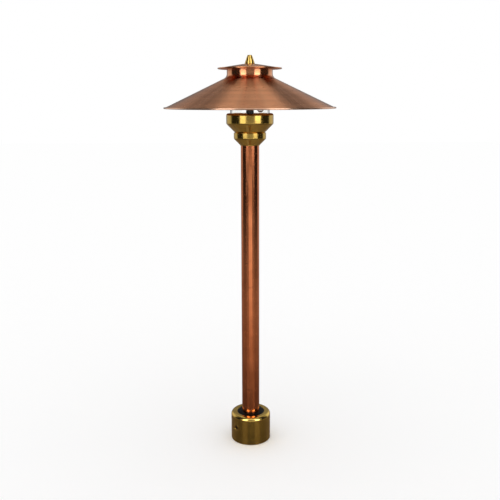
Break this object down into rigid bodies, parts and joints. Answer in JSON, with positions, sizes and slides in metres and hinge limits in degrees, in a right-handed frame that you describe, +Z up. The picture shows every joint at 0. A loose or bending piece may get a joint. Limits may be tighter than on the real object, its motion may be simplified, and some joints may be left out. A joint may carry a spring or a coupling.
{
  "type": "garden path light",
  "caption": "Hat-style low-voltage garden path light with a lift-off copper shade, a glass sleeve round its lamp and a brass hub for a ground stake.",
  "frame": {"origin": "centre of the hub's base, on the ground", "axes": "+Z up along the stem's axis, -Y towards the viewer, +X to the viewer's right, the lamp on the +X side of the centre tube"},
  "size_m": [0.2032, 0.2032, 0.4831],
  "materials": {
    "brass": "turned and lightly polished brass, weathering to brown",
    "copper": "drawn copper tube, smooth and lightly tarnished",
    "spun_copper": "spun copper sheet with fine rings from the lathe",
    "dark_steel": "black oxide steel",
    "zinc_steel": "zinc plated steel",
    "tungsten": "drawn tungsten wire",
    "black_rubber": "glossy black rubber",
    "seal_rubber": "matte red-brown silicone",
    "black_coat": "matte black coat on brass pipe",
    "ceramic": "unglazed steatite",
    "lead_sleeve": "woven glass sleeve over stranded wire",
    "blue_plastic": "moulded plastic",
    "clear_glass": "clear and polished",
    "lamp_glass": "clear quartz"
  },
  "bodies": {
    "base": {"hub": "brass", "hub_set_screw": "brass", "stem_grommet": "black_rubber", "stem_tube": "copper", "stem_coupling": "brass", "coupling_seal": "black_rubber", "glass_holder": "brass", "glass_gasket": "seal_rubber", "center_tube": "black_coat", "tube_washers": "zinc_steel", "tube_lock_nuts": "zinc_steel", "top_stud": "brass", "lamp_bracket": "zinc_steel", "bracket_clip": "dark_steel", "bracket_nut": "zinc_steel", "bracket_screws": "zinc_steel", "lamp_socket": "ceramic", "socket_contacts": "brass", "tube_grommet": "black_rubber", "lead_wires": "lead_sleeve", "wire_connectors": "blue_plastic"},
    "glass": {"glass_chimney": "clear_glass"},
    "shade": {"shade": "spun_copper", "shade_cap": "spun_copper", "cap_spacer": "brass", "upper_gasket": "seal_rubber"},
    "washer": {"finial_washer": "brass"},
    "finial": {"finial": "brass"},
    "lamp": {"lamp_capsule": "lamp_glass", "lamp_pins": "zinc_steel", "lamp_filament": "tungsten"}
  },
  "joints": [
    {"name": "glass_lift", "type": "slide", "parent": "base", "child": "glass", "axis": [0, 0, 1], "range_m": [0, 0.08]},
    {"name": "shade_lift", "type": "slide", "parent": "glass", "child": "shade", "axis": [0, 0, 1], "range_m": [0, 0.065]},
    {"name": "finial_lift", "type": "slide", "parent": "shade", "child": "washer", "axis": [0, 0, 1], "range_m": [0, 0.0075]},
    {"name": "finial_turn", "type": "hinge", "parent": "washer", "child": "finial", "pos_m": [0, 0, 0.478], "axis": [0, 0, 1], "range_deg": [0, 3401.6]},
    {"name": "lamp_pull", "type": "slide", "parent": "base", "child": "lamp", "axis": [0, 0, -1], "range_m": [0, 0.0075]}
  ],
  "couplings": [
    {"joint": "finial_turn", "follows": "finial_lift", "rad_per_m": 7915.8}
  ]
}
